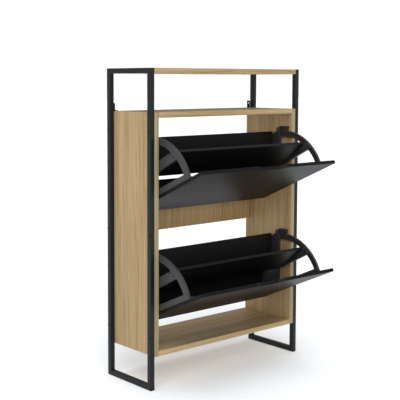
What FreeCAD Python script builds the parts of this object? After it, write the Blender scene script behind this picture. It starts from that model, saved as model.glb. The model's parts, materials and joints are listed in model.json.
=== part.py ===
import FreeCAD, Part
import math
import os

# Shoe cabinet: two steel side frames carry an oak shelf and an open-backed oak carcass
# with two tilting flaps, one above the other.  Both flaps rest open, as stored.
# Millimetres.  X runs along the width, -Y is the front, +Z is up; the origin lies on the
# floor under the middle of the whole box, open flaps included.

# ---- Frames and carcass -------------------------------------------------------------
WIDTH = 720.0            # over both side frames
DEPTH = 240.0            # front to back of the side frames
HEIGHT = 1080.0          # floor to the upper face of the shelf
TUBE = 18.0              # square tube, outside
TUBE_WALL = 1.5
TUBE_CORNER = 2.0        # outer corner radius of the tube
BOARD = 18.0             # shelf and carcass boards
BOARD_EASE = 0.8         # rounding of every board edge
CARCASS_BASE = 113.0     # floor to the underside of the carcass
CARCASS_TOP = 933.0      # floor to the upper face of the carcass
RAIL_HEIGHT = 100.0      # back rail at mid height
RAIL_BASE = 496.0        # floor to the lower edge of the back rail

# ---- Flaps, in a flap's closed frame: pivot at 0, 0; +y to the back, +z up -----------
OPEN_ANGLE = 65.5        # from upright to resting open
PIVOT_SETBACK = 26.0     # front plane to pivot
PIVOT_RISE = 138.0       # compartment floor to pivot
PANEL_THICK = 12.0
PANEL_SETBACK = 2.0      # front plane to the closed panel's outer face
PANEL_GAP = 3.0          # above and below a closed panel
SIDE_GAP = 2.0           # between a side panel and the flap
INNER_THICK = 10.0       # divider and floor boards inside a flap
NOTCH_TOP = 135.0        # finger notch: width at the edge, width at its floor, depth
NOTCH_FLOOR = 95.0
NOTCH_DEPTH = 12.0
BRACKET_THICK = 12.0     # moulded side bracket, along X
ARC_OUTER = 189.0        # guide arc of the bracket, round the pivot
ARC_WIDTH = 22.0
ARC_WEB = 5.0            # thickness of the arc's flat web, flush with the outer side
ARC_RIM = (4.0, 9.0)     # raised rim along the arc: radial height, thickness along X
ARM_REAR = 7.0           # pivot to the rear edge of the bracket's front arm
ARM_FOOT = 6.0           # panel's lower edge to the foot of that arm
REAR_ARM = (35.0, 6.0)   # reach of the rear arm above and below the rear floor board
FOOT_REACH = 4.0         # bracket beyond the front floor board
HUB_BACK = 30.0          # bracket in front of the pivot, along the floor slope
DIVIDER_ARM = ((57.0, 0.0), (67.0, 185.0), (98.0, 185.0), (90.0, 20.0))
SPARE_HOLE = (76.0, 142.0, 3.2)   # unused fixing hole in the divider arm: y, z, radius
DIVIDER_START = (56.6, 8.0)   # lower front corner of the divider
DIVIDER_LEAN = 13.7      # from upright, towards the back
DIVIDER_HEIGHT = 144.0
FLOOR_SLOPE = 90.0 - OPEN_ANGLE   # floor boards stand upright when the flap is open
REAR_FLOOR = (-59.0, 50.0, 184.0)    # across, start and end along the slope
FRONT_FLOOR = (-108.0, -75.0, 30.0)  # its lower end is bevelled against the front panel
FLANGE = (16.0, 5.0, 20.0)   # bracket to panel: inward reach, thickness, height
FLANGE_RISE = 40.0       # panel's lower edge to the middle of the lowest flange
HUB_RADIUS = 14.0
PIN_RADIUS = 5.0
PIN_FIT = 0.05           # radial running clearance of the pivot
PIN_SOCKET = 12.0        # depth of the pin in the side panel
PIN_HEAD = (8.0, 2.5)    # radius, thickness
END_PLAY = 0.3           # between faces that slide past or meet

# ---- Stop blocks, screwed to the side panels above each arc --------------------------
STOP_REAR = 52.0         # front plane to the rear end of a block
STOP_TOP = 206.0         # pivot to the upper face of a block
STOP_THICK = 11.0        # out from the side panel
STOP_CLEAR = 2.5         # between the arc and the underside of a block
NIB_WIDTH = 14.0         # lug on the arc that meets the block when the flap is open
NIB_RADIUS = 203.0

# ---- Fasteners ----------------------------------------------------------------------
BOLT_RADIUS = 3.0
BOLT_HEAD = (5.5, 3.0)   # radius, thickness
BOLT_REACH = 13.0        # length of bolt and sleeve inside the side panel
BOLT_INSET = 64.0        # from either end of the carcass to the outer bolts
HOLE_CLEAR = 0.1         # radial clearance of static holes
SLEEVE_RADIUS = 5.0      # threaded sleeve for a frame bolt
SCREW_RADIUS = 1.75
SCREW_HEAD = (3.8, 2.4)  # radius, thickness
SCREW_SINK = 5.0         # depth of a flap screw's head below the bracket's outer side
SCREW_BITE = 0.7         # part of a board's thickness that a screw enters
END_SCREW = 26.4         # shank of the screws in the inner boards' ends
DIVIDER_SCREWS = (0.2, 0.87)      # places of the end screws, as parts of the board's height
REAR_SCREWS = (0.2, 0.82)
FRONT_SCREWS = (0.35, 0.82)
STOP_SCREWS = (0.22, 0.78)
CAM_RADIUS = 7.5
CAM_HEIGHT = 12.5
CAM_INSET = 24.0         # board end to cam axis
CAM_STUD = (2.5, 10.0)   # radius, depth in the side panel
BOARD_FITTINGS = (0.2, 0.35)      # cam and dowel, as parts of the depth from either edge
RAIL_CAMS = (0.45, 0.85)          # back rail fittings, as parts of its height
RAIL_DOWEL = 0.65
DOWEL_RADIUS = 4.0
DOWEL_REACH = (10.0, 22.0)   # into the side panel, into the board
SHELF_PIN = (4.0, 20.0)  # pin on the top rail: radius, depth in the end of the shelf
WALL_PLATE = (15.0, 27.0, 20.0, 2.0)   # wall bracket: width, upright, foot, thickness
WALL_HOLE_RADIUS = 2.75
WALL_HOLE_RISE = 0.65    # wall hole and foot screw, as parts of the upright and the foot
WALL_SCREW_PLACE = 0.6

# ---- Derived places -----------------------------------------------------------------
OPEN = math.radians(OPEN_ANGLE)
SLOPE = math.radians(FLOOR_SLOPE)
LEAN = math.radians(DIVIDER_LEAN)
HALF = WIDTH / 2.0
SIDE_OUT = HALF - TUBE                   # outer face of a side panel
SIDE_IN = SIDE_OUT - BOARD               # inner face of a side panel
PITCH = (CARCASS_TOP - CARCASS_BASE - 2.0 * BOARD) / 2.0
PIVOTS = {"upper": CARCASS_BASE + BOARD + PITCH + PIVOT_RISE,
          "lower": CARCASS_BASE + BOARD + PIVOT_RISE}
PANEL_OUT = PANEL_SETBACK - PIVOT_SETBACK        # outer face, closed frame
PANEL_IN = PANEL_OUT + PANEL_THICK
PANEL_LOW = PANEL_GAP - PIVOT_RISE
PANEL_HIGH = PITCH - PANEL_GAP - PIVOT_RISE
OVERHANG = PANEL_HIGH * math.sin(OPEN) - PANEL_OUT * math.cos(OPEN) - PIVOT_SETBACK
FRONT = (OVERHANG - DEPTH) / 2.0                 # front plane of the frames
BACK = FRONT + DEPTH
BRACKET_OUT = SIDE_IN - SIDE_GAP
BRACKET_IN = BRACKET_OUT - BRACKET_THICK
X_AXIS = FreeCAD.Vector(1, 0, 0)
Y_AXIS = FreeCAD.Vector(0, 1, 0)
Z_AXIS = FreeCAD.Vector(0, 0, 1)


# ---- Helpers ------------------------------------------------------------------------
def box(low, high):
    size = [b - a for a, b in zip(low, high)]
    return Part.makeBox(size[0], size[1], size[2], FreeCAD.Vector(*low))


def rod(start, axis, radius, length):
    return Part.makeCylinder(radius, length, FreeCAD.Vector(*start), axis)


def board(low, high, ease=BOARD_EASE):
    solid = box(low, high)
    return solid.makeFillet(ease, solid.Edges)


def mirrored(solid):
    return solid.mirror(FreeCAD.Vector(0, 0, 0), X_AXIS)


def fused(solids):
    return solids[0].multiFuse(solids[1:]).removeSplitter()


def slab(points, x_low, x_high):
    """A closed outline of (y, z) points, extruded along X."""
    ring = [FreeCAD.Vector(x_low, y, z) for y, z in points]
    face = Part.Face(Part.makePolygon(ring + ring[:1]))
    return face.extrude(X_AXIS * (x_high - x_low))


def sloped(across, along):
    """Closed-frame (y, z) of a point measured across and along the floor slope."""
    return (along * math.cos(SLOPE) - across * math.sin(SLOPE),
            along * math.sin(SLOPE) + across * math.cos(SLOPE))


def leaned(back, up):
    """Closed-frame (y, z) of a point measured from the divider's lower front corner."""
    return (DIVIDER_START[0] + up * math.sin(LEAN) + back * math.cos(LEAN),
            DIVIDER_START[1] + up * math.cos(LEAN) - back * math.sin(LEAN))


def opened(solid, pivot_z):
    """Swing a closed-frame solid open and set it on its pivot."""
    solid = solid.copy()
    solid.rotate(FreeCAD.Vector(0, 0, 0), X_AXIS, OPEN_ANGLE)
    solid.translate(FreeCAD.Vector(0, FRONT + PIVOT_SETBACK, pivot_z))
    return solid


def screw(tip, axis, length):
    """Pan-headed screw whose shank starts at tip and runs along axis to its head."""
    head_at = FreeCAD.Vector(*tip) + axis * length
    shank = rod(tip, axis, SCREW_RADIUS, length)
    return shank.fuse(Part.makeCylinder(SCREW_HEAD[0], SCREW_HEAD[1], head_at, axis))


def screw_room(tip, axis, length):
    """The hole and head recess that a screw fits in."""
    head_at = FreeCAD.Vector(*tip) + axis * length
    shank = rod(tip, axis, SCREW_RADIUS + HOLE_CLEAR, length)
    recess = Part.makeCylinder(SCREW_HEAD[0] + 2 * HOLE_CLEAR, BRACKET_THICK, head_at, axis)
    return shank.fuse(recess)


def write(name, solids):
    shape = solids[0] if len(solids) == 1 else Part.makeCompound(solids)
    shape.exportStep("parts/" + name + ".step")


def write_pair(name, solids):
    """Write right-hand solids and their mirror images as two nodes."""
    write(name + "_right", solids)
    write(name + "_left", [mirrored(s) for s in solids])


# ---- Side frames --------------------------------------------------------------------
def rounded_square(size, corner):
    bar = Part.makeBox(size, size, 1.0, FreeCAD.Vector(-size / 2.0, -size / 2.0, 0))
    if corner > 0:
        upright = [e for e in bar.Edges if abs(e.tangentAt(e.FirstParameter).z) > 0.9]
        bar = bar.makeFillet(corner, upright)
    return [f for f in bar.Faces if f.CenterOfMass.z < 1e-6][0]


def tube(length):
    """Hollow square tube along Z, both ends cut at 45 degrees, longest on its -Y face."""
    outer = rounded_square(TUBE, TUBE_CORNER).extrude(Z_AXIS * length)
    inner = rounded_square(TUBE - 2 * TUBE_WALL, 0).extrude(Z_AXIS * length)
    solid = outer.cut(inner)
    half = TUBE / 2.0
    over = TUBE
    foot = [(-half - over, -over), (half + over, -over), (half + over, TUBE + over)]
    head = [(y, length - z) for y, z in foot]
    for wedge in (foot, head):
        solid = solid.cut(slab(wedge, -over, over))
    return solid


def tube_at(length, x, y, z, turns):
    """A tube turned about X in quarter turns, then set with its axis start at x, y, z."""
    solid = tube(length)
    solid.rotate(FreeCAD.Vector(0, 0, 0), X_AXIS, 90.0 * turns)
    solid.translate(FreeCAD.Vector(x, y, z))
    return solid


def bolt_heights():
    return (CARCASS_BASE + BOLT_INSET, (CARCASS_BASE + CARCASS_TOP) / 2.0, CARCASS_TOP - BOLT_INSET)


def frame_bolts():
    """Every frame bolt of the right-hand side: its axis point on the outer face."""
    half = TUBE / 2.0
    return [(HALF, y, z) for y in (FRONT + half, BACK - half) for z in bolt_heights()]


def side_frames():
    x = HALF - TUBE / 2.0
    half = TUBE / 2.0
    front_post = tube_at(HEIGHT, x, FRONT + half, 0, 0)
    back_post = tube_at(HEIGHT, x, BACK - half, HEIGHT, 2)
    top_rail = tube_at(DEPTH, x, FRONT, HEIGHT - half, 3)
    bottom_rail = tube_at(DEPTH, x, BACK, half, 1)
    bores = [rod((px - TUBE - 1, y, z), X_AXIS, BOLT_RADIUS + HOLE_CLEAR, TUBE + 2)
             for px, y, z in frame_bolts()]
    for bore in bores:
        front_post = front_post.cut(bore)
        back_post = back_post.cut(bore)
    write_pair("frame_front_post", [front_post])
    write_pair("frame_back_post", [back_post])
    write_pair("frame_top_rail", [top_rail.cut(Part.makeCompound(shelf_pins()))])
    write_pair("frame_bottom_rail", [bottom_rail])


def bolts_and_sleeves():
    bolts = []
    sleeves = []
    for x, y, z in frame_bolts():
        reach = TUBE + BOLT_REACH
        bolt = rod((x - reach, y, z), X_AXIS, BOLT_RADIUS, reach)
        head = rod((x, y, z), X_AXIS, BOLT_HEAD[0], BOLT_HEAD[1])
        rim = max(head.Edges, key=lambda edge: edge.CenterOfMass.x)
        head = head.makeFillet(BOLT_HEAD[1] / 2.0, [rim])
        bolts.append(bolt.fuse(head))
        sleeve = rod((SIDE_OUT - BOLT_REACH, y, z), X_AXIS, SLEEVE_RADIUS, BOLT_REACH)
        bore = rod((SIDE_OUT - BOLT_REACH, y, z), X_AXIS, BOLT_RADIUS + HOLE_CLEAR, BOLT_REACH)
        sleeves.append(sleeve.cut(bore))
    write_pair("frame_bolts", bolts)
    write("bolt_sleeves", sleeves + [mirrored(s) for s in sleeves])


# ---- Shelf and carcass --------------------------------------------------------------
def shelf_pins():
    """Pins on the inner side of the right-hand top rail."""
    radius, depth = SHELF_PIN
    return [rod((SIDE_OUT - depth, y, HEIGHT - BOARD / 2.0), X_AXIS, radius, depth + TUBE_WALL)
            for y in (FRONT + DEPTH / 4.0, BACK - DEPTH / 4.0)]


def shelf():
    pins = shelf_pins()
    pins += [mirrored(p) for p in pins]
    top = board((-SIDE_OUT, FRONT, HEIGHT - BOARD), (SIDE_OUT, BACK, HEIGHT))
    write("top_shelf", [top.cut(Part.makeCompound(pins))])
    write("shelf_pins", pins)


def joint_rows():
    """Right-hand board ends: y of a cam, y of its dowel, mid height."""
    rows = []
    cam, peg = BOARD_FITTINGS
    for z in (CARCASS_BASE + BOARD / 2.0, CARCASS_TOP - BOARD / 2.0):
        for end in (FRONT, BACK):
            inward = 1.0 if end == FRONT else -1.0
            rows.append((end + inward * DEPTH * cam, end + inward * DEPTH * peg, z))
    return rows


def cam_shapes():
    """Cams, their studs and the dowels of the right-hand board ends."""
    cams = []
    studs = []
    dowels = []
    for cam_y, dowel_y, z in joint_rows():
        base = z - BOARD / 2.0
        cams.append(rod((SIDE_IN - CAM_INSET, cam_y, base), Z_AXIS, CAM_RADIUS, CAM_HEIGHT))
        studs.append(stud(cam_y, z))
        dowels.append(dowel(dowel_y, z))
    rail_y = BACK - BOARD / 2.0
    for z in [RAIL_BASE + RAIL_HEIGHT * part for part in RAIL_CAMS]:
        cams.append(rod((SIDE_IN - CAM_INSET, BACK - CAM_HEIGHT, z), Y_AXIS, CAM_RADIUS, CAM_HEIGHT))
        studs.append(stud(rail_y, z))
    dowels.append(dowel(rail_y, RAIL_BASE + RAIL_HEIGHT * RAIL_DOWEL))
    return cams, studs, dowels


def stud(y, z):
    start = SIDE_IN - CAM_INSET + CAM_RADIUS / 2.0
    return rod((start, y, z), X_AXIS, CAM_STUD[0], SIDE_IN + CAM_STUD[1] - start)


def dowel(y, z):
    return rod((SIDE_IN - DOWEL_REACH[1], y, z), X_AXIS, DOWEL_RADIUS, sum(DOWEL_REACH))


def carcass():
    cams, studs, dowels = cam_shapes()
    side = board((SIDE_IN, FRONT, CARCASS_BASE), (SIDE_OUT, BACK, CARCASS_TOP))
    cutters = studs + dowels
    for x, y, z in frame_bolts():
        cutters.append(rod((SIDE_OUT - BOLT_REACH, y, z), X_AXIS, SLEEVE_RADIUS, BOLT_REACH))
    for pivot_z in PIVOTS.values():
        cutters.append(rod((SIDE_IN, FRONT + PIVOT_SETBACK, pivot_z), X_AXIS, PIN_RADIUS, PIN_SOCKET))
        for y, z in stop_screw_places(pivot_z):
            cutters.append(rod((SIDE_IN, y, z), X_AXIS, SCREW_RADIUS, BOARD * SCREW_BITE))
    cutters.append(wall_screw(SCREW_RADIUS))
    write_pair("side_panel", [side.cut(Part.makeCompound(cutters))])
    boards = {
        "carcass_top": ((-SIDE_IN, FRONT, CARCASS_TOP - BOARD), (SIDE_IN, BACK, CARCASS_TOP)),
        "carcass_bottom": ((-SIDE_IN, FRONT, CARCASS_BASE), (SIDE_IN, BACK, CARCASS_BASE + BOARD)),
        "back_rail": ((-SIDE_IN, BACK - BOARD, RAIL_BASE), (SIDE_IN, BACK, RAIL_BASE + RAIL_HEIGHT))}
    holes = cams + studs + dowels
    holes = Part.makeCompound(holes + [mirrored(h) for h in holes])
    for name, (low, high) in boards.items():
        write(name, [board(low, high).cut(holes)])
    cams = [cam.cut(Part.makeCompound(studs)) for cam in cams]
    write("cam_locks", cams + [mirrored(c) for c in cams])
    write("cam_studs", studs + [mirrored(s) for s in studs])
    write("dowels", dowels + [mirrored(d) for d in dowels])


def wall_screw(radius):
    x = SIDE_OUT - BOARD / 2.0
    y = BACK - WALL_PLATE[2] * WALL_SCREW_PLACE
    return rod((x, y, CARCASS_TOP - BOARD), Z_AXIS, radius, BOARD + WALL_PLATE[3])


def wall_brackets():
    width, upright, foot, thick = WALL_PLATE
    low_x = SIDE_OUT - BOARD / 2.0 - width / 2.0
    leg = box((low_x, BACK - thick, CARCASS_TOP), (low_x + width, BACK, CARCASS_TOP + upright))
    base = box((low_x, BACK - foot, CARCASS_TOP), (low_x + width, BACK, CARCASS_TOP + thick))
    plate = leg.fuse(base).removeSplitter()
    centre = (low_x + width / 2.0, BACK - thick, CARCASS_TOP + upright * WALL_HOLE_RISE)
    plate = plate.cut(rod(centre, Y_AXIS, WALL_HOLE_RADIUS, thick))
    plate = plate.cut(wall_screw(SCREW_RADIUS + HOLE_CLEAR))
    write_pair("wall_bracket", [plate])
    shank = wall_screw(SCREW_RADIUS)
    top = (low_x + width / 2.0, BACK - foot * WALL_SCREW_PLACE, CARCASS_TOP + thick)
    fixing = shank.fuse(rod(top, Z_AXIS, SCREW_HEAD[0], SCREW_HEAD[1]))
    write("wall_bracket_screws", [fixing, mirrored(fixing)])


# ---- Stop blocks and pivot pins -----------------------------------------------------
def stop_screw_places(pivot_z):
    reach = STOP_REAR - PANEL_SETBACK - PANEL_THICK
    first = FRONT + PANEL_SETBACK + PANEL_THICK
    height = pivot_z + (ARC_OUTER + STOP_TOP) / 2.0
    return [(first + reach * part, height) for part in STOP_SCREWS]


def stop_block(pivot_z):
    y_low = FRONT + PANEL_SETBACK + PANEL_THICK + END_PLAY
    y_high = FRONT + STOP_REAR
    low = (SIDE_IN - STOP_THICK, y_low, pivot_z + ARC_OUTER - ARC_WIDTH / 2.0)
    solid = box(low, (SIDE_IN, y_high, pivot_z + STOP_TOP))
    centre = (low[0] - 1, FRONT + PIVOT_SETBACK, pivot_z)
    solid = solid.cut(rod(centre, X_AXIS, ARC_OUTER + STOP_CLEAR, STOP_THICK + 2))
    screws = []
    for y, z in stop_screw_places(pivot_z):
        tip = (SIDE_IN + BOARD * SCREW_BITE, y, z)
        length = BOARD * SCREW_BITE + STOP_THICK - SCREW_HEAD[1]
        solid = solid.cut(screw_room(tip, -X_AXIS, length))
        screws.append(screw(tip, -X_AXIS, length))
    return solid, screws


def stops_and_pins():
    all_screws = []
    for level, pivot_z in PIVOTS.items():
        block, screws = stop_block(pivot_z)
        write_pair(level + "_stop_block", [block])
        all_screws += screws
        y = FRONT + PIVOT_SETBACK
        head_x = BRACKET_IN - END_PLAY
        shank = rod((head_x, y, pivot_z), X_AXIS, PIN_RADIUS, SIDE_IN + PIN_SOCKET - head_x)
        head = rod((head_x - PIN_HEAD[1], y, pivot_z), X_AXIS, PIN_HEAD[0], PIN_HEAD[1])
        write_pair(level + "_pivot_pin", [shank.fuse(head)])
    write("stop_block_screws", all_screws + [mirrored(s) for s in all_screws])


# ---- Flaps --------------------------------------------------------------------------
def front_panel():
    reach = SIDE_IN - SIDE_GAP
    panel = board((-reach, PANEL_OUT, PANEL_LOW), (reach, PANEL_IN, PANEL_HIGH))
    floor = PANEL_HIGH - NOTCH_DEPTH
    outline = [(-NOTCH_TOP / 2, PANEL_HIGH + 1), (-NOTCH_FLOOR / 2, floor),
               (NOTCH_FLOOR / 2, floor), (NOTCH_TOP / 2, PANEL_HIGH + 1)]
    ring = [FreeCAD.Vector(x, PANEL_OUT - 1, z) for x, z in outline]
    notch = Part.Face(Part.makePolygon(ring + ring[:1])).extrude(Y_AXIS * (PANEL_THICK + 2))
    return panel.cut(notch)


def inner_board(place, corners):
    """A board between the brackets: its section's four corners, taken through place."""
    solid = slab([place(*c) for c in corners], -BRACKET_IN, BRACKET_IN)
    long_edges = [e for e in solid.Edges if abs(e.tangentAt(e.FirstParameter).x) > 0.9]
    solid = solid.makeFillet(BOARD_EASE, long_edges)
    return solid.common(box((-BRACKET_IN, PANEL_IN, -DEPTH), (BRACKET_IN, DEPTH, DEPTH)))


def floor_board(floor):
    across, start, end = floor
    behind = across - INNER_THICK
    return inner_board(sloped, [(across, start), (across, end), (behind, end), (behind, start)])


def divider_board():
    corners = [(0, 0), (0, DIVIDER_HEIGHT), (INNER_THICK, DIVIDER_HEIGHT), (INNER_THICK, 0)]
    return inner_board(leaned, corners)


def end_screws():
    """Screws through a right-hand bracket into the ends of the three inner boards."""
    places = [leaned(INNER_THICK / 2, DIVIDER_HEIGHT * part) for part in DIVIDER_SCREWS]
    for (across, start, end), parts in ((REAR_FLOOR, REAR_SCREWS), (FRONT_FLOOR, FRONT_SCREWS)):
        middle = across - INNER_THICK / 2
        places += [sloped(middle, start + (end - start) * part) for part in parts]
    tip_x = BRACKET_OUT - SCREW_SINK - SCREW_HEAD[1] - END_SCREW
    return [((tip_x, y, z), X_AXIS, END_SCREW) for y, z in places]


def flange_heights():
    top = ARC_OUTER - FLANGE[2] / 2.0
    low = PANEL_LOW + FLANGE_RISE
    return (low, (low + top) / 2.0, top)


def panel_screws():
    """Screws through the bracket's inner flanges into the back of the front panel."""
    x = BRACKET_IN - FLANGE[0] / 2.0
    bite = PANEL_THICK * SCREW_BITE
    return [((x, PANEL_IN - bite, z), Y_AXIS, FLANGE[1] + bite) for z in flange_heights()]


def ring(inner, outer, thick):
    """Flat ring round the pivot, flush with the bracket's outer side."""
    low = (BRACKET_OUT - thick, 0, 0)
    return rod(low, X_AXIS, outer, thick).cut(rod(low, X_AXIS, inner, thick))


def ring_sector():
    """Guide arc with its rim, from the rear floor arm up and over to the front arm."""
    web = ring(ARC_OUTER - ARC_WIDTH, ARC_OUTER, ARC_WEB)
    rim = ring(ARC_OUTER - ARC_RIM[0], ARC_OUTER, ARC_RIM[1])
    far = 2 * ARC_OUTER
    start = sloped(REAR_FLOOR[0], ARC_OUTER)
    keep = slab([(0, 0), start, (far, far), (PANEL_IN, far), (PANEL_IN, 0)], BRACKET_IN, BRACKET_OUT)
    return web.fuse(rim).common(keep)


def bracket_arms():
    """The bracket's three arms and the plate round its hub."""
    x = (BRACKET_IN, BRACKET_OUT)
    reach = ARC_OUTER - ARC_RIM[0]    # the arms end under the rim
    arm_foot = PANEL_LOW + ARM_FOOT
    disc = rod((x[0], 0, 0), X_AXIS, reach, BRACKET_THICK)
    front_arm = box((x[0], PANEL_IN, arm_foot), (x[1], ARM_REAR, reach))
    high = REAR_FLOOR[0] + REAR_ARM[0]
    low = REAR_FLOOR[0] - INNER_THICK - REAR_ARM[1]
    rear_outline = [(high, -HUB_BACK), (high, reach), (low, reach), (low, -HUB_BACK)]
    rear_arm = slab([sloped(*corner) for corner in rear_outline], *x)
    divider_arm = slab(DIVIDER_ARM, *x)
    foot = FRONT_FLOOR[0] - INNER_THICK - FOOT_REACH
    foot_end = FRONT_FLOOR[2] + FOOT_REACH
    hub_plate = slab([sloped(high, -HUB_BACK), sloped(high, foot_end), sloped(foot, foot_end),
                      sloped(foot, FRONT_FLOOR[1] + FLANGE[2]), (PANEL_IN, arm_foot), (PANEL_IN, 0)], *x)
    return [arm.common(disc) for arm in (front_arm, rear_arm, divider_arm)] + [hub_plate]


def nib():
    """Lug on the arc that meets the stop block when the flap is open."""
    across = PIVOT_SETBACK - STOP_REAR - END_PLAY
    behind = across - NIB_WIDTH
    foot = ARC_OUTER - ARC_WIDTH / 2.0
    outline = [sloped(across, foot), sloped(across, NIB_RADIUS), sloped(behind, NIB_RADIUS - ARC_RIM[0]),
               sloped(behind, foot)]
    return slab(outline, BRACKET_IN, BRACKET_OUT)


def flange(z):
    half = FLANGE[2] / 2
    return box((BRACKET_IN - FLANGE[0], PANEL_IN, z - half), (BRACKET_OUT, PANEL_IN + FLANGE[1], z + half))


def bracket():
    """Right-hand side bracket of a flap, one moulding."""
    hub = rod((BRACKET_IN, 0, 0), X_AXIS, HUB_RADIUS, BRACKET_THICK + SIDE_GAP / 2.0)
    flanges = [flange(z) for z in flange_heights()]
    solid = fused(bracket_arms() + [ring_sector(), hub, nib()] + flanges)
    low = (BRACKET_IN - FLANGE[0], PANEL_IN, -ARC_OUTER)
    solid = solid.common(box(low, (SIDE_IN, NIB_RADIUS, NIB_RADIUS)))
    y, z, radius = SPARE_HOLE
    cutters = [rod((BRACKET_IN, y, z), X_AXIS, radius, BRACKET_THICK),
               rod((BRACKET_IN, 0, 0), X_AXIS, PIN_RADIUS + PIN_FIT, BRACKET_THICK + SIDE_GAP)]
    for cutter in cutters + [screw_room(*s) for s in end_screws() + panel_screws()]:
        solid = solid.cut(cutter)
    return solid


def flap(level):
    pivot_z = PIVOTS[level]
    places = end_screws() + panel_screws()
    screws = [screw(*s) for s in places]
    holes = [rod(tip, axis, SCREW_RADIUS, length) for tip, axis, length in places]
    holes = Part.makeCompound(holes + [mirrored(h) for h in holes])
    pieces = {"front_panel": front_panel(), "divider": divider_board(),
              "rear_floor": floor_board(REAR_FLOOR), "front_floor": floor_board(FRONT_FLOOR)}
    for name, solid in pieces.items():
        write(level + "_" + name, [opened(solid.cut(holes), pivot_z)])
    write_pair(level + "_bracket", [opened(bracket(), pivot_z)])
    write(level + "_flap_screws", [opened(s, pivot_z) for s in screws + [mirrored(s) for s in screws]])


os.makedirs("parts", exist_ok=True)
side_frames()
bolts_and_sleeves()
shelf()
carcass()
wall_brackets()
stops_and_pins()
for flap_level in PIVOTS:
    flap(flap_level)
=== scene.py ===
import json
import math

import bmesh
import bpy
from mathutils import Matrix, Vector


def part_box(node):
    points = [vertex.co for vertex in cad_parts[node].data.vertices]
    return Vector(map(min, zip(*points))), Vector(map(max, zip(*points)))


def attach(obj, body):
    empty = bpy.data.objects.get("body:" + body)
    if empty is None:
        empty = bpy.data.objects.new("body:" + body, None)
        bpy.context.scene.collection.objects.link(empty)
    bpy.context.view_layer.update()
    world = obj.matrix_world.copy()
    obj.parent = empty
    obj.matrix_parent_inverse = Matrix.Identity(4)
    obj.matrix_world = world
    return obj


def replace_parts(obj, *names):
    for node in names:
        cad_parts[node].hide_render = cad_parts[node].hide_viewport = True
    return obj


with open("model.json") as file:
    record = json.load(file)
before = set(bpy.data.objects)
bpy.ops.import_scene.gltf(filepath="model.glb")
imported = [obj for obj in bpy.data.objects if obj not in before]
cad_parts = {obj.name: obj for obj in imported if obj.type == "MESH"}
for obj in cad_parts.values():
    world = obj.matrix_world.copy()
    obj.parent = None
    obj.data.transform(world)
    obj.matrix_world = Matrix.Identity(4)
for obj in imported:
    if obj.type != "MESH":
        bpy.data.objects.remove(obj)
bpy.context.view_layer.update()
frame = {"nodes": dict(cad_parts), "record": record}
NODES = frame["nodes"]
RECORD = frame["record"]


# ---- Shader helpers -----------------------------------------------------------------
NOISE_MIDDLE = (0.3, 0.7)        # most of a noise texture lies between these
BEVEL_SAMPLES = 4
EDGE_BEND = (0.99, 0.80)         # cosine of the bend where wear starts and is full


class Shader:
    """A node material under construction."""

    def __init__(self, name):
        self.material = bpy.data.materials.new(name)
        self.material.use_nodes = True
        self.tree = self.material.node_tree
        self.tree.nodes.clear()
        out = self.tree.nodes.new("ShaderNodeOutputMaterial")
        self.bsdf = self.tree.nodes.new("ShaderNodeBsdfPrincipled")
        self.link(self.bsdf.outputs[0], out.inputs[0])
        self.coords = self.add("ShaderNodeTexCoord").outputs["Object"]

    def add(self, kind, values=None, **settings):
        node = self.tree.nodes.new(kind)
        for key, value in settings.items():
            setattr(node, key, value)
        for key, value in (values or {}).items():
            self.set(node.inputs[key], value)
        return node

    def set(self, socket, value):
        if isinstance(value, bpy.types.NodeSocket):
            self.link(value, socket)
        else:
            socket.default_value = value

    def link(self, a, b):
        self.tree.links.new(a, b)

    def math(self, operation, a, b=0.0):
        return self.add("ShaderNodeMath", {0: a, 1: b}, operation=operation).outputs[0]

    def scaled(self, vector, scale):
        return self.add("ShaderNodeMapping", {"Vector": vector, "Scale": scale}).outputs[0]

    def moved(self, vector, offset):
        return self.add("ShaderNodeMapping", {"Vector": vector, "Location": offset}).outputs[0]

    def noise(self, vector, scale=1.0, detail=3.0, rough=0.5):
        values = {"Vector": vector, "Scale": scale, "Detail": detail, "Roughness": rough}
        return self.add("ShaderNodeTexNoise", values).outputs["Fac"]

    def ramp(self, factor, stops):
        node = self.add("ShaderNodeValToRGB", {"Fac": factor})
        ramp = node.color_ramp
        while len(ramp.elements) < len(stops):
            ramp.elements.new(0.5)
        for element, (place, colour) in zip(ramp.elements, stops):
            element.position = place
            element.color = (*colour, 1.0)
        return node.outputs[0]

    def span(self, value, from_low, from_high, to_low, to_high):
        values = {"Value": value, "From Min": from_low, "From Max": from_high,
                  "To Min": to_low, "To Max": to_high}
        return self.add("ShaderNodeMapRange", values).outputs[0]

    def spread(self, noise, low, high):
        """Stretch the useful middle of a noise over low to high."""
        return self.span(noise, *NOISE_MIDDLE, low, high)

    def blend(self, factor, a, b, mode="MIX"):
        node = self.add("ShaderNodeMix", data_type="RGBA", blend_type=mode)
        for socket, value in ((node.inputs[0], factor), (node.inputs[6], a), (node.inputs[7], b)):
            if isinstance(value, tuple) and len(value) == 3:
                value = (*value, 1.0)
            self.set(socket, value)
        return node.outputs[2]

    def bump(self, height, distance, strength):
        values = {"Height": height, "Distance": distance, "Strength": strength}
        return self.add("ShaderNodeBump", values).outputs[0]

    def finish(self, **values):
        for key, value in values.items():
            self.set(self.bsdf.inputs[key.replace("_", " ")], value)
        return self.material


def edge_wear(shader, radius):
    """0 on flat faces, rising to 1 on sharp edges."""
    soft = shader.add("ShaderNodeBevel", {"Radius": radius}, samples=BEVEL_SAMPLES).outputs[0]
    true = shader.add("ShaderNodeNewGeometry").outputs["Normal"]
    product = shader.add("ShaderNodeVectorMath", {0: soft, 1: true}, operation="DOT_PRODUCT")
    return shader.span(product.outputs["Value"], *EDGE_BEND, 0.0, 1.0)


def shade(colour, factor):
    return tuple(value * factor for value in colour)


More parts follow.
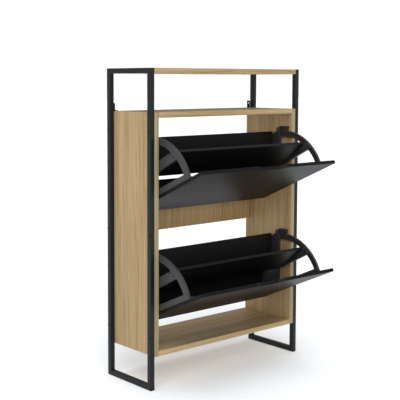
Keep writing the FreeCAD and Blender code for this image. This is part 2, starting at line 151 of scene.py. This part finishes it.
OAK_TONES = ((0.36, (0.240, 0.150, 0.066)), (0.45, (0.345, 0.236, 0.112)),
             (0.55, (0.430, 0.308, 0.157)), (0.66, (0.510, 0.378, 0.202)))
OAK_PORE = (0.20, 0.125, 0.06)
PORE_DEPTH = 0.22                # how far a pore darkens the wood
END_GRAIN = 0.7                  # cosine past which a face counts as a board's end
SWAY = 0.025                     # sideways wander of the grain, metres
BROAD_PART, STREAK_PART, FINE_PART = 0.22, 0.40, 0.38


def oak(name, order, offset, ends=None, tint_and_painted_light=(1.0, 1.0, 1.0)):
    """Light oak decor.

    order names the axes across, through and along the grain, and ends names them on the board's ends.
    """
    s = Shader(name)
    split = s.add("ShaderNodeSeparateXYZ", {0: s.coords})

    def ordered(axes):
        parts = {i: split.outputs["XYZ".index(a)] for i, a in enumerate(axes)}
        return s.add("ShaderNodeCombineXYZ", parts).outputs[0]

    flow = ordered(order)
    if ends is not None:
        normal = s.add("ShaderNodeTexCoord").outputs["Normal"]
        along = s.add("ShaderNodeSeparateXYZ", {0: normal}).outputs["XYZ".index(order[2])]
        at_end = s.math("GREATER_THAN", s.math("ABSOLUTE", along), END_GRAIN)
        flow_mix = s.add("ShaderNodeMix", {0: at_end}, data_type="VECTOR")
        s.link(flow, flow_mix.inputs[4])
        s.link(ordered(ends), flow_mix.inputs[5])
        flow = flow_mix.outputs[1]
    flow = s.moved(flow, offset)
    sway = s.noise(s.scaled(flow, (3.0, 3.0, 1.1)), detail=2.0)
    shift = s.add("ShaderNodeCombineXYZ", {0: s.span(sway, 0.0, 1.0, -SWAY, SWAY)}).outputs[0]
    grain = s.add("ShaderNodeVectorMath", {0: flow, 1: shift}, operation="ADD").outputs[0]
    broad = s.noise(s.scaled(grain, (16.0, 16.0, 0.55)), detail=3.0, rough=0.55)
    streak = s.noise(s.scaled(grain, (85.0, 85.0, 1.7)), detail=4.0, rough=0.6)
    fine = s.noise(s.scaled(grain, (460.0, 460.0, 8.0)), detail=3.0, rough=0.6)
    pores = s.noise(s.scaled(grain, (1500.0, 1500.0, 38.0)), detail=1.5, rough=0.5)
    pore_mark = s.span(pores, 0.60, 0.72, 0.0, 1.0)
    tone = s.math("MULTIPLY", broad, BROAD_PART)
    tone = s.math("ADD", tone, s.math("MULTIPLY", streak, STREAK_PART))
    tone = s.math("ADD", tone, s.math("MULTIPLY", fine, FINE_PART))
    # The last argument scales the wood's tones: on some boards a real tint, on the right side, bottom board
    # and back rail painted light, on the upright edge bands painted shade.
    stops = [(place, tuple(v * t for v, t in zip(wood, tint_and_painted_light))) for place, wood in OAK_TONES]
    colour = s.ramp(tone, stops)
    colour = s.blend(s.math("MULTIPLY", pore_mark, PORE_DEPTH), colour, OAK_PORE)
    height = s.math("SUBTRACT", s.math("MULTIPLY", fine, 0.6), pore_mark)
    return s.finish(Base_Color=colour, Roughness=s.spread(streak, 0.58, 0.48), Specular_IOR_Level=0.30,
                    Normal=s.bump(height, 0.00012, 0.5))


def patches(s, scale, detail, low, high, least):
    """Blotches of wear, so that it is not even along an edge."""
    return s.span(s.noise(s.coords, scale=scale, detail=detail), low, high, least, 1.0)


def powder_coat(name, base, roughness=0.50):
    """Fine orange-peel paint that lightens a little on worn edges."""
    s = Shader(name)
    peel = s.noise(s.coords, scale=950.0, detail=2.0)
    cloud = s.noise(s.coords, scale=14.0, detail=4.0, rough=0.6)
    wear = s.math("MULTIPLY", edge_wear(s, 0.0012), patches(s, 60.0, 4.0, 0.42, 0.62, 0.15))
    colour = s.blend(s.spread(cloud, 0.0, 1.0), shade(base, 0.85), shade(base, 1.25))
    colour = s.blend(s.math("MULTIPLY", wear, 0.30), colour, shade(base, 4.0))
    return s.finish(Base_Color=colour, Roughness=s.spread(cloud, roughness - 0.05, roughness + 0.06),
                    Specular_IOR_Level=0.30, Normal=s.bump(peel, 0.00008, 0.5))


DUST = (0.16, 0.155, 0.15)


def laminate(name, base, roughness, gloss):
    """Matt black melamine with a very fine pearl embossing."""
    s = Shader(name)
    pearl = s.noise(s.coords, scale=1400.0, detail=1.5)
    smear = s.noise(s.scaled(s.coords, (5.0, 9.0, 9.0)), detail=4.0, rough=0.65)
    dust = s.span(s.noise(s.coords, scale=240.0, detail=5.0, rough=0.7), 0.62, 0.80, 0.0, 1.0)
    wear = s.math("MULTIPLY", edge_wear(s, 0.0009), patches(s, 45.0, 3.0, 0.45, 0.65, 0.1))
    colour = s.blend(s.spread(smear, 0.0, 1.0), shade(base, 0.95), shade(base, 1.06))
    colour = s.blend(s.math("MULTIPLY", dust, 0.10), colour, DUST)
    colour = s.blend(s.math("MULTIPLY", wear, 0.25), colour, shade(base, 3.0))
    return s.finish(Base_Color=colour, Roughness=s.spread(smear, roughness - 0.015, roughness + 0.02),
                    Specular_IOR_Level=gloss, Normal=s.bump(pearl, 0.00005, 0.45))


def moulded(name, base, roughness=0.5):
    """Injection-moulded plastic with an eroded texture."""
    s = Shader(name)
    grain = s.add("ShaderNodeTexVoronoi", {"Vector": s.coords, "Scale": 1100.0}).outputs["Distance"]
    cloud = s.noise(s.coords, scale=28.0, detail=3.0)
    wear = edge_wear(s, 0.0008)
    colour = s.blend(s.spread(cloud, 0.0, 1.0), shade(base, 0.88), shade(base, 1.14))
    colour = s.blend(s.math("MULTIPLY", wear, 0.30), colour, shade(base, 2.2))
    return s.finish(Base_Color=colour, Roughness=s.spread(cloud, roughness - 0.05, roughness + 0.07),
                    Normal=s.bump(grain, 0.00006, 0.6))


def plated(name, base, roughness=0.32):
    """Zinc plating with a faint mottle."""
    s = Shader(name)
    cloud = s.noise(s.coords, scale=180.0, detail=4.0)
    colour = s.blend(cloud, shade(base, 0.8), base)
    return s.finish(Base_Color=colour, Metallic=1.0, Normal=s.bump(cloud, 0.00004, 0.4),
                    Roughness=s.spread(cloud, roughness - 0.08, roughness + 0.1))


def beech(name):
    s = Shader(name)
    flow = s.scaled(s.coords, (6.0, 700.0, 700.0))
    tone = s.noise(flow, detail=3.0)
    colour = s.ramp(tone, [(0.35, (0.42, 0.27, 0.14)), (0.65, (0.62, 0.44, 0.26))])
    return s.finish(Base_Color=colour, Roughness=0.6, Normal=s.bump(tone, 0.0001, 0.5))


OAKS = {
    "side_panel_left": oak("oak_side_left", "YXZ", (0.31, 0.0, 0.12), "XZY"),
    # Made lighter all over: painted light for the light falling on its inner face.
    "side_panel_right": oak("oak_side_right_painted_light", "YXZ", (1.73, 0.4, 2.31), "XZY", tint_and_painted_light=(1.15, 1.11, 1.05)),
    "top_shelf": oak("oak_shelf", "YZX", (2.27, 0.1, 1.04)),
    "carcass_top": oak("oak_top", "YZX", (3.11, 0.7, 0.55)),
    # Made lighter: painted light on the bottom board inside the carcass.
    "carcass_bottom": oak("oak_bottom_painted_light", "YZX", (4.43, 0.9, 3.37), tint_and_painted_light=(1.14, 1.11, 1.04)),
    # Made lighter: painted light on the back rail, which sits in shade inside the carcass.
    "back_rail": oak("oak_rail_painted_light", "XYZ", (5.19, 0.3, 4.21), tint_and_painted_light=(1.20, 1.14, 1.02)),
}
BANDS = {"X": oak("oak_band_across", "ZYX", (6.13, 0.2, 1.9), tint_and_painted_light=(0.96, 0.95, 0.93)),
         # Darker and greener: the darkening is painted shade on the side panels' edges, the greener hue a
         # tone of the strip.
         "Z": oak("oak_band_upright", "XYZ", (7.41, 0.6, 2.7), tint_and_painted_light=(0.74, 0.84, 0.84))}
STEEL = powder_coat("frame_black", (0.0050, 0.0052, 0.0056))
FIXING = powder_coat("fixing_black", (0.0085, 0.0085, 0.0085), 0.38)
PANEL = laminate("panel_black", (0.0058, 0.0056, 0.0056), 0.44, 0.11)
# A second copy of the black melamine for the boards inside the flaps, its base and gloss tuned apart from
# the outer panels' to their look in the flaps' shade: painted shade.
INNER_SHADED_COPY = laminate("inner_black_shaded_copy", (0.0080, 0.0079, 0.0080), 0.5, 0.18)
BRACKET = moulded("bracket_grey", (0.031, 0.030, 0.030))
BLOCK = moulded("block_black", (0.010, 0.010, 0.0104))
ZINC = plated("zinc", (0.62, 0.62, 0.60))
BY_SLOT = {"black_board": PANEL, "black_steel": STEEL, "bracket_plastic": BRACKET, "block_plastic": BLOCK,
           "black_fixings": FIXING, "zinc_fixings": ZINC, "dowel_wood": beech("beech")}
INNER_BOARDS = ("divider", "rear_floor", "front_floor")


def paint(obj, material):
    obj.data.materials.clear()
    obj.data.materials.append(material)


SLOTS = {part["node"]: part["material_slot"] for part in RECORD["subparts"]}
BODY_OF = {node: body for body, nodes in RECORD["behaviour"]["bodies"].items() for node in nodes}
for node, slot in SLOTS.items():
    inner = node.endswith(INNER_BOARDS)
    paint(NODES[node], INNER_SHADED_COPY if inner else OAKS.get(node) or BY_SLOT[slot])


# ---- Fasteners: the CAD shanks and heads, rebuilt with crowned heads and real drives --
OPEN = math.radians(RECORD["behaviour"]["joints"][0]["range_deg"][1])
AXES = [Vector((1, 0, 0)), Vector((0, 1, 0)), Vector((0, 0, 1)), Vector((0, math.cos(OPEN), math.sin(OPEN)))]
SEGMENTS = 72
SAME_PLACE = 1e-6                # points this near belong together, metres
END_ZONE = 1e-5                  # points this near the end belong to the end face
HEAD_ZONE = 0.9                  # points past this part of the radius belong to the head
WING = 0.26                      # half width of a cross recess, as a part of its reach
NEVER_ZERO = 1e-6
FOOT_SIZE, FOOT_RISE = 0.7, 0.3          # chamfer at the shank's end, as parts of its radius
FULL_SHANK = 0.95                        # a shank wider than this part of the head has no head
RIM_SIZE, RIM_RISE = 0.985, 0.06         # chamfer under the head, parts of its radius and height
CROWN_STEPS = 6
SOCKET_DEPTH = 0.55                      # of the head's height
MOUTH_SIZE, MOUTH_DEPTH = 1.12, 0.08     # lead-in of the socket, parts of its size and depth
FLOOR_SIZE, TIP_DEPTH = 0.72, 1.15       # socket floor and the drill point under it
SMOOTH_BELOW = math.radians(32)


def loose_parts(node):
    """The separate solids of a CAD node, each as a list of points."""
    mesh = bmesh.new()
    mesh.from_mesh(NODES[node].data)
    bmesh.ops.remove_doubles(mesh, verts=mesh.verts, dist=SAME_PLACE)
    parts = []
    for start in mesh.verts:
        if start.tag:
            continue
        start.tag = True
        stack = [start]
        points = []
        while stack:
            vert = stack.pop()
            points.append(vert.co.copy())
            for edge in vert.link_edges:
                other = edge.other_vert(vert)
                if not other.tag:
                    other.tag = True
                    stack.append(other)
        parts.append(points)
    mesh.free()
    return parts


def box_centre(points):
    return Vector([(min(p[i] for p in points) + max(p[i] for p in points)) / 2 for i in range(3)])


def off_axis(point, centre, axis):
    arm = point - centre
    return (arm - axis * arm.dot(axis)).length


def measure(points):
    """Axis and sizes of one turned solid: the head end points along axis."""
    centre = box_centre(points)
    axis = min(AXES, key=lambda a: max(off_axis(p, centre, a) for p in points))
    radius = max(off_axis(p, centre, axis) for p in points)
    places = [(p - centre).dot(axis) for p in points]
    wide = [t for p, t in zip(points, places) if off_axis(p, centre, axis) > HEAD_ZONE * radius]
    if max(places) - max(wide) > min(wide) - min(places):
        axis = -axis
        places = [-t for t in places]
        wide = [-t for t in wide]
    foot = [p for p, t in zip(points, places) if t - min(places) < END_ZONE]
    shank = max(off_axis(p, centre, axis) for p in foot)
    return {"axis": axis, "top": centre + axis * max(places), "head": radius, "shank": shank,
            "thick": max(places) - min(wide), "length": max(places) - min(places)}


def hexagon(angle):
    """Reach of a hexagon whose corners lie at 1."""
    return math.cos(math.pi / 6) / math.cos(angle % (math.pi / 3) - math.pi / 6)


def cross(angle):
    """Reach of a plain cross recess."""
    across = max(abs(math.cos(angle)), NEVER_ZERO)
    up = max(abs(math.sin(angle)), NEVER_ZERO)
    return max(min(1 / across, WING / up), min(1 / up, WING / across))


def dimple(angle):
    """Reach of a circle."""
    return 1.0


BOLT_DRIVE = (hexagon, 0.42, 0.55)       # outline, socket size and crown, as parts of the head
SCREW_DRIVE = (cross, 0.58, 0.6)
PIN_DRIVE = (dimple, 0.30, 0.45)
CAM_DRIVE = (cross, 0.52, 0.06)


def turned(mesh, place, rings, deep):
    """A closed lathe form along Z: rings of (radius, height, outline), then a last point at deep."""
    loops = []
    for radius, height, outline in rings:
        loop = []
        for i in range(SEGMENTS):
            angle = 2 * math.pi * i / SEGMENTS
            reach = radius * outline(angle)
            point = Vector((reach * math.cos(angle), reach * math.sin(angle), height))
            loop.append(mesh.verts.new(place @ point))
        loops.append(loop)
    start = mesh.verts.new(place @ Vector((0, 0, rings[0][1])))
    end = mesh.verts.new(place @ Vector((0, 0, deep)))
    for i in range(SEGMENTS):
        j = (i + 1) % SEGMENTS
        mesh.faces.new((start, loops[0][j], loops[0][i]))
        mesh.faces.new((end, loops[-1][i], loops[-1][j]))
        for low, high in zip(loops, loops[1:]):
            mesh.faces.new((low[i], low[j], high[j], high[i]))


def fastener(mesh, size, outline, drive, crown):
    """One screw, bolt or pin.  drive is the socket's size and crown the rounding, as parts of the head."""
    head, thick, shank = size["head"], size["thick"], size["shank"]
    tail = thick - size["length"]
    round_off = crown * min(thick, head)
    rings = [(shank * FOOT_SIZE, tail, dimple), (shank, tail + shank * FOOT_RISE, dimple)]
    if shank < head * FULL_SHANK:
        rings += [(shank, 0.0, dimple), (head * RIM_SIZE, 0.0, dimple), (head, thick * RIM_RISE, dimple)]
    for step in range(CROWN_STEPS):
        turn = math.pi / 2 * step / (CROWN_STEPS - 1)
        inward, down = 1 - math.cos(turn), 1 - math.sin(turn)
        rings.append((head - round_off * inward, thick - round_off * down, dimple))
    socket = head * drive
    depth = thick * SOCKET_DEPTH
    rings += [(socket * MOUTH_SIZE, thick, dimple), (socket, thick - depth * MOUTH_DEPTH, outline),
              (socket * FLOOR_SIZE, thick - depth, outline)]
    aim = size["axis"].to_track_quat("Z", "Y").to_matrix().to_4x4()
    place = Matrix.Translation(size["top"] - size["axis"] * thick) @ aim
    turned(mesh, place, rings, thick - depth * TIP_DEPTH)


def new_piece(name, mesh, material, node):
    """Close a bmesh into an object that rides with the CAD node's body."""
    bmesh.ops.recalc_face_normals(mesh, faces=mesh.faces)
    for face in mesh.faces:
        face.smooth = True
    for edge in mesh.edges:
        edge.smooth = edge.calc_face_angle(0.0) < SMOOTH_BELOW
    data = bpy.data.meshes.new(name)
    mesh.to_mesh(data)
    mesh.free()
    piece = bpy.data.objects.new(name, data)
    bpy.context.scene.collection.objects.link(piece)
    data.materials.append(material)
    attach(piece, BODY_OF[node])
    return piece


def detailed(name, node, drive):
    """Replace a CAD node of turned solids by detailed ones of the same sizes."""
    mesh = bmesh.new()
    for points in loose_parts(node):
        fastener(mesh, measure(points), *drive)
    piece = new_piece(name, mesh, BY_SLOT[SLOTS[node]], node)
    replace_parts(piece, node)


def cam_faces():
    """Cam locks: drilled flush in the boards, their drive towards the open side."""
    mesh = bmesh.new()
    for points in loose_parts("cam_locks"):
        size = measure(points)
        facing = Vector((0, 1, 0)) if abs(size["axis"].y) > 0.5 else Vector((0, 0, -1))
        depth = size["length"]
        top = box_centre(points) + facing * depth / 2
        size.update(axis=facing, top=top, shank=size["head"], thick=depth)
        fastener(mesh, size, *CAM_DRIVE)
    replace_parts(new_piece("cam_lock_faces", mesh, ZINC, "cam_locks"), "cam_locks")


def fasteners():
    for side in ("left", "right"):
        detailed("button_bolts_" + side, "frame_bolts_" + side, BOLT_DRIVE)
    detailed("stop_screws_pan", "stop_block_screws", SCREW_DRIVE)
    detailed("wall_screws_pan", "wall_bracket_screws", SCREW_DRIVE)
    for level in ("upper", "lower"):
        detailed(level + "_flap_screws_pan", level + "_flap_screws", SCREW_DRIVE)
        for side in ("left", "right"):
            name = "%s_pivot_pin_%s" % (level, side)
            detailed(name + "_domed", name, PIN_DRIVE)
    cam_faces()


# ---- Edge bands -----------------------------------------------------------------------
BAND_PROUD = 0.00025             # the strip stands out of the board by this
BAND_INSET = 0.0006              # and stops this far short of its rounded edges
BAND_ROUNDING = BAND_PROUD * 0.8
BAND_SINK = BAND_PROUD * 2


def edge_band(node, axis, side, along):
    """A melamine strip on one edge of a board: axis and side of the edge, axis that it runs along."""
    low, high = [Vector(v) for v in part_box(node)]
    face = high[axis] if side > 0 else low[axis]
    for i in range(3):
        if i != axis:
            low[i] += BAND_INSET
            high[i] -= BAND_INSET
    low[axis], high[axis] = sorted((face + side * BAND_PROUD, face - side * BAND_SINK))
    mesh = bmesh.new()
    bmesh.ops.create_cube(mesh, size=1.0)
    for vert in mesh.verts:
        vert.co = Vector([low[i] + (vert.co[i] + 0.5) * (high[i] - low[i]) for i in range(3)])
    bmesh.ops.bevel(mesh, geom=mesh.edges[:], offset=BAND_ROUNDING, segments=3, profile=0.5,
                    affect="EDGES")
    name = "%s_band_%s%s" % (node, "xyz"[axis], "_back" if side > 0 else "_front")
    new_piece(name, mesh, BANDS["XYZ"[along]], node)


def edge_bands():
    for node in ("top_shelf", "carcass_top", "carcass_bottom"):
        for side in (-1, 1):
            edge_band(node, 1, side, 0)
    for node in ("side_panel_left", "side_panel_right"):
        for side in (-1, 1):
            edge_band(node, 1, side, 2)
    for side in (-1, 1):
        edge_band("back_rail", 2, side, 0)


# ---- Studio -------------------------------------------------------------------------
AMBIENT = 0.50                   # light of the surround on the object
SURROUND = 1.02                  # and its brightness to the camera
WHITE = (1.0, 1.0, 1.0, 1.0)
FLOOR_GLOW = 0.15
FLOOR_PALE, FLOOR_PALER = (0.845, 0.875, 0.910), (0.865, 0.895, 0.930)
FLOOR_REACH = 40.0
FLOOR_DROP = 0.0004              # below the feet, so that the two faces do not coincide
SUNS = (("key", (-0.62, -0.62, 0.80), 1.20, 40), ("front_fill", (-0.55, -1.0, 0.25), 1.05, 50),
        ("overhead", (0.0, -0.1, 1.0), 1.15, 50))
CAMERA_AT = (-2.2408, -2.3331, 1.0357)
CAMERA_YAW, CAMERA_PITCH = math.radians(39.646), math.radians(4.431)


def studio_floor():
    """Pale sweep that glows a little, so that it meets the white surround with no horizon."""
    shader = Shader("studio_floor")
    speck = shader.noise(shader.coords, scale=2.0, detail=2.0)
    material = shader.finish(Base_Color=shader.blend(speck, FLOOR_PALE, FLOOR_PALER), Roughness=0.7,
                             Specular_IOR_Level=0.1, Emission_Color=WHITE, Emission_Strength=FLOOR_GLOW)
    mesh = bpy.data.meshes.new("studio_floor")
    corners = [(x * FLOOR_REACH, y * FLOOR_REACH, 0) for x, y in ((-1, -1), (1, -1), (1, 1), (-1, 1))]
    mesh.from_pydata(corners, [], [(0, 1, 2, 3)])
    floor = bpy.data.objects.new("studio_floor", mesh)
    bpy.context.scene.collection.objects.link(floor)
    floor.location.z = -FLOOR_DROP
    floor.data.materials.append(material)


def soft_sun(name, source, strength, spread):
    """Light from a direction, with no fall-off, so that the far floor is as bright as the near one."""
    data = bpy.data.lights.new(name, "SUN")
    data.energy = strength
    data.angle = math.radians(spread)
    light = bpy.data.objects.new(name, data)
    bpy.context.scene.collection.objects.link(light)
    light.rotation_euler = Vector(source).to_track_quat("Z", "Y").to_euler()


def studio_light():
    """A surround that the camera sees as white but that lights the object less, and three suns."""
    world = bpy.data.worlds.new("studio")
    bpy.context.scene.world = world
    world.use_nodes = True
    tree = world.node_tree
    back = tree.nodes["Background"]
    back.inputs[0].default_value = WHITE
    back.inputs[1].default_value = AMBIENT
    surround = tree.nodes.new("ShaderNodeBackground")
    surround.inputs[0].default_value = WHITE
    surround.inputs[1].default_value = SURROUND
    path = tree.nodes.new("ShaderNodeLightPath")
    mix = tree.nodes.new("ShaderNodeMixShader")
    tree.links.new(path.outputs["Is Camera Ray"], mix.inputs[0])
    tree.links.new(back.outputs[0], mix.inputs[1])
    tree.links.new(surround.outputs[0], mix.inputs[2])
    tree.links.new(mix.outputs[0], tree.nodes["World Output"].inputs[0])
    for sun in SUNS:
        soft_sun(*sun)


def camera():
    data = bpy.data.cameras.new("camera")
    data.sensor_width = 36.0
    data.lens = 82.144
    data.shift_x = 0.10
    data.shift_y = -0.12
    data.clip_start, data.clip_end = 0.05, 60.0
    cam = bpy.data.objects.new("camera", data)
    bpy.context.scene.collection.objects.link(cam)
    cam.location = CAMERA_AT
    cam.rotation_euler = (math.pi / 2 - CAMERA_PITCH, 0.0, -CAMERA_YAW)
    bpy.context.scene.camera = cam


fasteners()
edge_bands()
studio_floor()
studio_light()
camera()
bpy.context.scene.view_settings.view_transform = "Standard"
